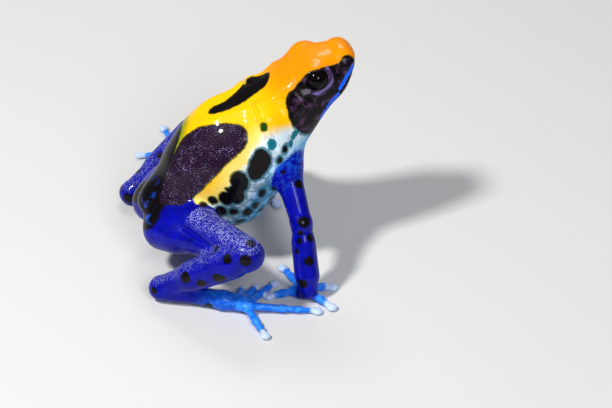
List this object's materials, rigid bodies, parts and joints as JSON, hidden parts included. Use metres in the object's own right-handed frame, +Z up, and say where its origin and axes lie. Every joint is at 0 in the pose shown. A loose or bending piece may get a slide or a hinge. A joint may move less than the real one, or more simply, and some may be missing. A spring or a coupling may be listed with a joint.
{
  "type": "dyeing poison dart frog model",
  "caption": "Life-size still model of a poison dart frog sitting with its head raised, forelegs straight and hind legs folded, on flats under its hands and feet.",
  "frame": {"origin": "on the floor, at the middle of the box that the frog fills", "axes": "+X the way the frog faces, +Y its left, +Z up"},
  "size_m": [0.0382, 0.0682, 0.0384],
  "materials": {
    "skin": "moist satin skin, yellow, black and ultramarine blue",
    "eye": "wet gloss black"
  },
  "bodies": {
    "root": {"head": "skin", "torso": "skin", "eye_right": "eye", "eye_left": "eye", "upper_arm_right": "skin", "upper_arm_left": "skin", "forearm_right": "skin", "forearm_left": "skin", "hand_right": "skin", "hand_left": "skin", "thigh_right": "skin", "thigh_left": "skin", "shank_right": "skin", "shank_left": "skin", "ankle_right": "skin", "ankle_left": "skin", "foot_right": "skin", "foot_left": "skin"}
  },
  "joints": []
}
